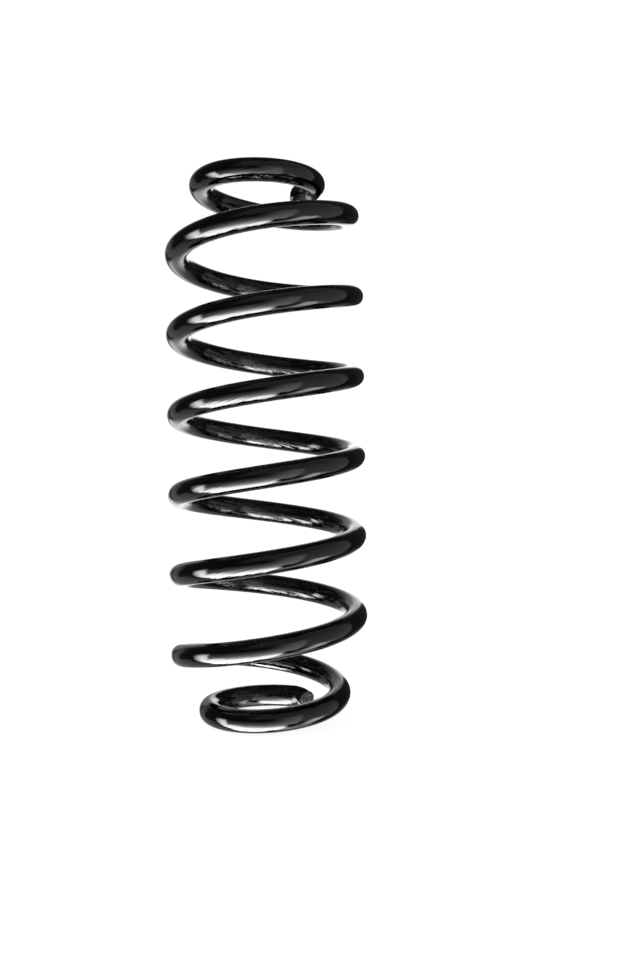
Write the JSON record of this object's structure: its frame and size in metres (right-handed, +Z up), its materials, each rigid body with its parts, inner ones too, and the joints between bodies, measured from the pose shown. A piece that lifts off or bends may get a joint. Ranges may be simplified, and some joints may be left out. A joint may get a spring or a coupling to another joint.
{
  "type": "coil spring",
  "caption": "Automotive suspension coil spring: one round bar wound right-handed with a pigtail at each end, gloss black, which compresses by twisting its bar.",
  "frame": {"origin": "on the spring's axis, at the plane that the lower pigtail rests on", "axes": "+Z up along the spring's axis, from the lower pigtail to the upper one; both tips lie towards +X +Y"},
  "size_m": [0.1325, 0.1325, 0.3667],
  "materials": {
    "gloss_black_coat": "gloss black powder coat over steel bar, with a slight orange peel"
  },
  "bodies": {
    "lower_end": {"lower_pigtail_1": "gloss_black_coat", "lower_pigtail_2": "gloss_black_coat", "lower_pigtail_3": "gloss_black_coat", "lower_pigtail_4": "gloss_black_coat"},
    "lower_pigtail_5": {"lower_pigtail_5": "gloss_black_coat"},
    "lower_pigtail_6": {"lower_pigtail_6": "gloss_black_coat"},
    "coil_1_1": {"coil_1_1": "gloss_black_coat"},
    "coil_1_2": {"coil_1_2": "gloss_black_coat"},
    "coil_1_3": {"coil_1_3": "gloss_black_coat"},
    "coil_1_4": {"coil_1_4": "gloss_black_coat"},
    "coil_1_5": {"coil_1_5": "gloss_black_coat"},
    "coil_1_6": {"coil_1_6": "gloss_black_coat"},
    "coil_2_1": {"coil_2_1": "gloss_black_coat"},
    "coil_2_2": {"coil_2_2": "gloss_black_coat"},
    "coil_2_3": {"coil_2_3": "gloss_black_coat"},
    "coil_2_4": {"coil_2_4": "gloss_black_coat"},
    "coil_2_5": {"coil_2_5": "gloss_black_coat"},
    "coil_2_6": {"coil_2_6": "gloss_black_coat"},
    "coil_3_1": {"coil_3_1": "gloss_black_coat"},
    "coil_3_2": {"coil_3_2": "gloss_black_coat"},
    "coil_3_3": {"coil_3_3": "gloss_black_coat"},
    "coil_3_4": {"coil_3_4": "gloss_black_coat"},
    "coil_3_5": {"coil_3_5": "gloss_black_coat"},
    "coil_3_6": {"coil_3_6": "gloss_black_coat"},
    "coil_4_1": {"coil_4_1": "gloss_black_coat"},
    "coil_4_2": {"coil_4_2": "gloss_black_coat"},
    "coil_4_3": {"coil_4_3": "gloss_black_coat"},
    "coil_4_4": {"coil_4_4": "gloss_black_coat"},
    "coil_4_5": {"coil_4_5": "gloss_black_coat"},
    "coil_4_6": {"coil_4_6": "gloss_black_coat"},
    "coil_5_1": {"coil_5_1": "gloss_black_coat"},
    "coil_5_2": {"coil_5_2": "gloss_black_coat"},
    "coil_5_3": {"coil_5_3": "gloss_black_coat"},
    "coil_5_4": {"coil_5_4": "gloss_black_coat"},
    "coil_5_5": {"coil_5_5": "gloss_black_coat"},
    "coil_5_6": {"coil_5_6": "gloss_black_coat"},
    "coil_6_1": {"coil_6_1": "gloss_black_coat"},
    "coil_6_2": {"coil_6_2": "gloss_black_coat"},
    "coil_6_3": {"coil_6_3": "gloss_black_coat"},
    "coil_6_4": {"coil_6_4": "gloss_black_coat"},
    "coil_6_5": {"coil_6_5": "gloss_black_coat"},
    "coil_6_6": {"coil_6_6": "gloss_black_coat"},
    "upper_pigtail_1": {"upper_pigtail_1": "gloss_black_coat"},
    "upper_pigtail_2": {"upper_pigtail_2": "gloss_black_coat"},
    "upper_end": {"upper_pigtail_3": "gloss_black_coat", "upper_pigtail_4": "gloss_black_coat", "upper_pigtail_5": "gloss_black_coat", "upper_pigtail_6": "gloss_black_coat"}
  },
  "joints": [
    {"name": "twist_lower_pigtail_5", "type": "hinge", "parent": "lower_end", "child": "lower_pigtail_5", "pos_m": [0.01024, -0.04298, 0.00936], "axis": [-0.9794, -0.1854, -0.08], "range_deg": [0, 0.9667], "stiffness_Nm_per_rad": 38190},
    {"name": "twist_lower_pigtail_6", "type": "hinge", "parent": "lower_pigtail_5", "child": "lower_pigtail_6", "pos_m": [0.04447, -0.01239, 0.01527], "axis": [-0.2884, -0.9474, -0.139], "range_deg": [0, 1.93], "stiffness_Nm_per_rad": 19095},
    {"name": "twist_coil_1_1", "type": "hinge", "parent": "lower_pigtail_6", "child": "coil_1_1", "pos_m": [0.03593, 0.03422, 0.02356], "axis": [0.6047, -0.7786, -0.1677], "range_deg": [0, 2.9], "stiffness_Nm_per_rad": 12730},
    {"name": "twist_coil_1_2", "type": "hinge", "parent": "coil_1_1", "child": "coil_1_2", "pos_m": [-0.01507, 0.05309, 0.03285], "axis": [0.9736, 0.1945, -0.1198], "range_deg": [0, 3.87], "stiffness_Nm_per_rad": 9547.5},
    {"name": "twist_coil_1_3", "type": "hinge", "parent": "coil_1_2", "child": "coil_1_3", "pos_m": [-0.05616, 0.01632, 0.04135], "axis": [0.2981, 0.9437, -0.1435], "range_deg": [0, 4.83], "stiffness_Nm_per_rad": 7638},
    {"name": "compression", "type": "hinge", "parent": "coil_1_3", "child": "coil_1_4", "pos_m": [-0.04263, -0.0407, 0.05026], "axis": [-0.6914, 0.7132, -0.1154], "range_deg": [0, 5.8], "stiffness_Nm_per_rad": 6365},
    {"name": "twist_coil_1_5", "type": "hinge", "parent": "coil_1_4", "child": "coil_1_5", "pos_m": [0.01421, -0.057, 0.05915], "axis": [-0.9603, -0.2394, -0.1429], "range_deg": [0, 5.8], "stiffness_Nm_per_rad": 6365},
    {"name": "twist_coil_1_6", "type": "hinge", "parent": "coil_1_5", "child": "coil_1_6", "pos_m": [0.05644, -0.01608, 0.06805], "axis": [-0.2721, -0.9552, -0.1168], "range_deg": [0, 5.8], "stiffness_Nm_per_rad": 6365},
    {"name": "twist_coil_2_1", "type": "hinge", "parent": "coil_1_6", "child": "coil_2_1", "pos_m": [0.04212, 0.04096, 0.07695], "axis": [0.69, -0.7096, -0.1429], "range_deg": [0, 5.8], "stiffness_Nm_per_rad": 6365},
    {"name": "twist_coil_2_2", "type": "hinge", "parent": "coil_2_1", "child": "coil_2_2", "pos_m": [-0.01449, 0.05686, 0.08584], "axis": [0.9624, 0.2453, -0.1168], "range_deg": [0, 5.8], "stiffness_Nm_per_rad": 6365},
    {"name": "twist_coil_2_3", "type": "hinge", "parent": "coil_2_2", "child": "coil_2_3", "pos_m": [-0.05659, 0.0158, 0.09474], "axis": [0.2662, 0.9533, -0.1429], "range_deg": [0, 5.8], "stiffness_Nm_per_rad": 6365},
    {"name": "twist_coil_2_4", "type": "hinge", "parent": "coil_2_3", "child": "coil_2_4", "pos_m": [-0.04186, -0.04113, 0.10364], "axis": [-0.6961, 0.7084, -0.1168], "range_deg": [0, 5.8], "stiffness_Nm_per_rad": 6365},
    {"name": "twist_coil_2_5", "type": "hinge", "parent": "coil_2_4", "child": "coil_2_5", "pos_m": [0.01481, -0.05685, 0.11254], "axis": [-0.9578, -0.2495, -0.1429], "range_deg": [0, 5.8], "stiffness_Nm_per_rad": 6365},
    {"name": "twist_coil_2_6", "type": "hinge", "parent": "coil_2_5", "child": "coil_2_6", "pos_m": [0.0566, -0.01548, 0.12144], "axis": [-0.2621, -0.958, -0.1168], "range_deg": [0, 5.8], "stiffness_Nm_per_rad": 6365},
    {"name": "twist_coil_3_1", "type": "hinge", "parent": "coil_2_6", "child": "coil_3_1", "pos_m": [0.04169, 0.0414, 0.13033], "axis": [0.6974, -0.7023, -0.1429], "range_deg": [0, 5.8], "stiffness_Nm_per_rad": 6365},
    {"name": "twist_coil_3_2", "type": "hinge", "parent": "coil_3_1", "child": "coil_3_2", "pos_m": [-0.01509, 0.05671, 0.13923], "axis": [0.9598, 0.2554, -0.1168], "range_deg": [0, 5.8], "stiffness_Nm_per_rad": 6365},
    {"name": "twist_coil_3_3", "type": "hinge", "parent": "coil_3_2", "child": "coil_3_3", "pos_m": [-0.05675, 0.01521, 0.14813], "axis": [0.2562, 0.956, -0.1429], "range_deg": [0, 5.8], "stiffness_Nm_per_rad": 6365},
    {"name": "twist_coil_3_4", "type": "hinge", "parent": "coil_3_3", "child": "coil_3_4", "pos_m": [-0.04142, -0.04157, 0.15703], "axis": [-0.7035, 0.701, -0.1168], "range_deg": [0, 5.8], "stiffness_Nm_per_rad": 6365},
    {"name": "twist_coil_3_5", "type": "hinge", "parent": "coil_3_4", "child": "coil_3_5", "pos_m": [0.0154, -0.05669, 0.16593], "axis": [-0.9551, -0.2595, -0.1429], "range_deg": [0, 5.8], "stiffness_Nm_per_rad": 6365},
    {"name": "twist_coil_3_6", "type": "hinge", "parent": "coil_3_5", "child": "coil_3_6", "pos_m": [0.05676, -0.01489, 0.17483], "axis": [-0.252, -0.9606, -0.1168], "range_deg": [0, 5.8], "stiffness_Nm_per_rad": 6365},
    {"name": "twist_coil_4_1", "type": "hinge", "parent": "coil_3_6", "child": "coil_4_1", "pos_m": [0.04125, 0.04183, 0.18372], "axis": [0.7047, -0.6949, -0.1429], "range_deg": [0, 5.8], "stiffness_Nm_per_rad": 6365},
    {"name": "twist_coil_4_2", "type": "hinge", "parent": "coil_4_1", "child": "coil_4_2", "pos_m": [-0.01568, 0.05655, 0.19262], "axis": [0.957, 0.2654, -0.1168], "range_deg": [0, 5.8], "stiffness_Nm_per_rad": 6365},
    {"name": "twist_coil_4_3", "type": "hinge", "parent": "coil_4_2", "child": "coil_4_3", "pos_m": [-0.0569, 0.01461, 0.20152], "axis": [0.2461, 0.9586, -0.1429], "range_deg": [0, 5.8], "stiffness_Nm_per_rad": 6365},
    {"name": "twist_coil_4_4", "type": "hinge", "parent": "coil_4_3", "child": "coil_4_4", "pos_m": [-0.04098, -0.042, 0.21042], "axis": [-0.7108, 0.6936, -0.1168], "range_deg": [0, 5.8], "stiffness_Nm_per_rad": 6365},
    {"name": "twist_coil_4_5", "type": "hinge", "parent": "coil_4_4", "child": "coil_4_5", "pos_m": [0.016, -0.05653, 0.21932], "axis": [-0.9523, -0.2695, -0.1429], "range_deg": [0, 5.8], "stiffness_Nm_per_rad": 6365},
    {"name": "twist_coil_4_6", "type": "hinge", "parent": "coil_4_5", "child": "coil_4_6", "pos_m": [0.05691, -0.0143, 0.22821], "axis": [-0.2419, -0.9632, -0.1168], "range_deg": [0, 5.8], "stiffness_Nm_per_rad": 6365},
    {"name": "twist_coil_5_1", "type": "hinge", "parent": "coil_4_6", "child": "coil_5_1", "pos_m": [0.04081, 0.04226, 0.23711], "axis": [0.712, -0.6875, -0.1429], "range_deg": [0, 5.8], "stiffness_Nm_per_rad": 6365},
    {"name": "twist_coil_5_2", "type": "hinge", "parent": "coil_5_1", "child": "coil_5_2", "pos_m": [-0.01627, 0.05638, 0.24601], "axis": [0.9542, 0.2754, -0.1168], "range_deg": [0, 5.8], "stiffness_Nm_per_rad": 6365},
    {"name": "twist_coil_5_3", "type": "hinge", "parent": "coil_5_2", "child": "coil_5_3", "pos_m": [-0.05705, 0.01401, 0.25491], "axis": [0.2361, 0.9612, -0.1429], "range_deg": [0, 5.8], "stiffness_Nm_per_rad": 6365},
    {"name": "twist_coil_5_4", "type": "hinge", "parent": "coil_5_3", "child": "coil_5_4", "pos_m": [-0.04054, -0.04243, 0.26381], "axis": [-0.718, 0.6862, -0.1168], "range_deg": [0, 5.8], "stiffness_Nm_per_rad": 6365},
    {"name": "twist_coil_5_5", "type": "hinge", "parent": "coil_5_4", "child": "coil_5_5", "pos_m": [0.01659, -0.05636, 0.2727], "axis": [-0.9495, -0.2794, -0.1429], "range_deg": [0, 5.8], "stiffness_Nm_per_rad": 6365},
    {"name": "twist_coil_5_6", "type": "hinge", "parent": "coil_5_5", "child": "coil_5_6", "pos_m": [0.05706, -0.0137, 0.2816], "axis": [-0.2318, -0.9657, -0.1168], "range_deg": [0, 5.8], "stiffness_Nm_per_rad": 6365},
    {"name": "twist_coil_6_1", "type": "hinge", "parent": "coil_5_6", "child": "coil_6_1", "pos_m": [0.04037, 0.04269, 0.2905], "axis": [0.7191, -0.68, -0.1429], "range_deg": [0, 5.8], "stiffness_Nm_per_rad": 6365},
    {"name": "twist_coil_6_2", "type": "hinge", "parent": "coil_6_1", "child": "coil_6_2", "pos_m": [-0.01686, 0.05621, 0.2994], "axis": [0.9513, 0.2854, -0.1168], "range_deg": [0, 5.8], "stiffness_Nm_per_rad": 6365},
    {"name": "twist_coil_6_3", "type": "hinge", "parent": "coil_6_2", "child": "coil_6_3", "pos_m": [-0.0572, 0.01342, 0.3083], "axis": [0.226, 0.9636, -0.1429], "range_deg": [0, 5.8], "stiffness_Nm_per_rad": 6365},
    {"name": "twist_coil_6_4", "type": "hinge", "parent": "coil_6_3", "child": "coil_6_4", "pos_m": [-0.0401, -0.04306, 0.31719], "axis": [-0.7237, 0.6803, -0.1159], "range_deg": [0, 5.8], "stiffness_Nm_per_rad": 6365},
    {"name": "twist_coil_6_5", "type": "hinge", "parent": "coil_6_4", "child": "coil_6_5", "pos_m": [0.01713, -0.05601, 0.32609], "axis": [-0.9421, -0.3033, -0.1433], "range_deg": [0, 4.83], "stiffness_Nm_per_rad": 7638},
    {"name": "twist_coil_6_6", "type": "hinge", "parent": "coil_6_5", "child": "coil_6_6", "pos_m": [0.05502, -0.0137, 0.33476], "axis": [-0.2007, -0.9725, -0.1179], "range_deg": [0, 3.87], "stiffness_Nm_per_rad": 9547.5},
    {"name": "twist_upper_pigtail_1", "type": "hinge", "parent": "coil_6_6", "child": "upper_pigtail_1", "pos_m": [0.03603, 0.03891, 0.34389], "axis": [0.7735, -0.6138, -0.1575], "range_deg": [0, 2.9], "stiffness_Nm_per_rad": 12730},
    {"name": "twist_upper_pigtail_2", "type": "hinge", "parent": "upper_pigtail_1", "child": "upper_pigtail_2", "pos_m": [-0.01256, 0.047, 0.35206], "axis": [0.9353, 0.3293, -0.1298], "range_deg": [0, 1.93], "stiffness_Nm_per_rad": 19095},
    {"name": "twist_upper_end", "type": "hinge", "parent": "upper_pigtail_2", "child": "upper_end", "pos_m": [-0.0423, 0.00946, 0.35782], "axis": [0.111, 0.9912, -0.0727], "range_deg": [0, 0.9667], "stiffness_Nm_per_rad": 38190}
  ],
  "couplings": [
    {"joint": "twist_lower_pigtail_5", "follows": "compression", "ratio": 0.16667},
    {"joint": "twist_lower_pigtail_6", "follows": "compression", "ratio": 0.33333},
    {"joint": "twist_coil_1_1", "follows": "compression", "ratio": 0.5},
    {"joint": "twist_coil_1_2", "follows": "compression", "ratio": 0.66667},
    {"joint": "twist_coil_1_3", "follows": "compression", "ratio": 0.83333},
    {"joint": "twist_coil_1_5", "follows": "compression", "ratio": 1},
    {"joint": "twist_coil_1_6", "follows": "compression", "ratio": 1},
    {"joint": "twist_coil_2_1", "follows": "compression", "ratio": 1},
    {"joint": "twist_coil_2_2", "follows": "compression", "ratio": 1},
    {"joint": "twist_coil_2_3", "follows": "compression", "ratio": 1},
    {"joint": "twist_coil_2_4", "follows": "compression", "ratio": 1},
    {"joint": "twist_coil_2_5", "follows": "compression", "ratio": 1},
    {"joint": "twist_coil_2_6", "follows": "compression", "ratio": 1},
    {"joint": "twist_coil_3_1", "follows": "compression", "ratio": 1},
    {"joint": "twist_coil_3_2", "follows": "compression", "ratio": 1},
    {"joint": "twist_coil_3_3", "follows": "compression", "ratio": 1},
    {"joint": "twist_coil_3_4", "follows": "compression", "ratio": 1},
    {"joint": "twist_coil_3_5", "follows": "compression", "ratio": 1},
    {"joint": "twist_coil_3_6", "follows": "compression", "ratio": 1},
    {"joint": "twist_coil_4_1", "follows": "compression", "ratio": 1},
    {"joint": "twist_coil_4_2", "follows": "compression", "ratio": 1},
    {"joint": "twist_coil_4_3", "follows": "compression", "ratio": 1},
    {"joint": "twist_coil_4_4", "follows": "compression", "ratio": 1},
    {"joint": "twist_coil_4_5", "follows": "compression", "ratio": 1},
    {"joint": "twist_coil_4_6", "follows": "compression", "ratio": 1},
    {"joint": "twist_coil_5_1", "follows": "compression", "ratio": 1},
    {"joint": "twist_coil_5_2", "follows": "compression", "ratio": 1},
    {"joint": "twist_coil_5_3", "follows": "compression", "ratio": 1},
    {"joint": "twist_coil_5_4", "follows": "compression", "ratio": 1},
    {"joint": "twist_coil_5_5", "follows": "compression", "ratio": 1},
    {"joint": "twist_coil_5_6", "follows": "compression", "ratio": 1},
    {"joint": "twist_coil_6_1", "follows": "compression", "ratio": 1},
    {"joint": "twist_coil_6_2", "follows": "compression", "ratio": 1},
    {"joint": "twist_coil_6_3", "follows": "compression", "ratio": 1},
    {"joint": "twist_coil_6_4", "follows": "compression", "ratio": 1},
    {"joint": "twist_coil_6_5", "follows": "compression", "ratio": 0.83333},
    {"joint": "twist_coil_6_6", "follows": "compression", "ratio": 0.66667},
    {"joint": "twist_upper_pigtail_1", "follows": "compression", "ratio": 0.5},
    {"joint": "twist_upper_pigtail_2", "follows": "compression", "ratio": 0.33333},
    {"joint": "twist_upper_end", "follows": "compression", "ratio": 0.16667}
  ]
}
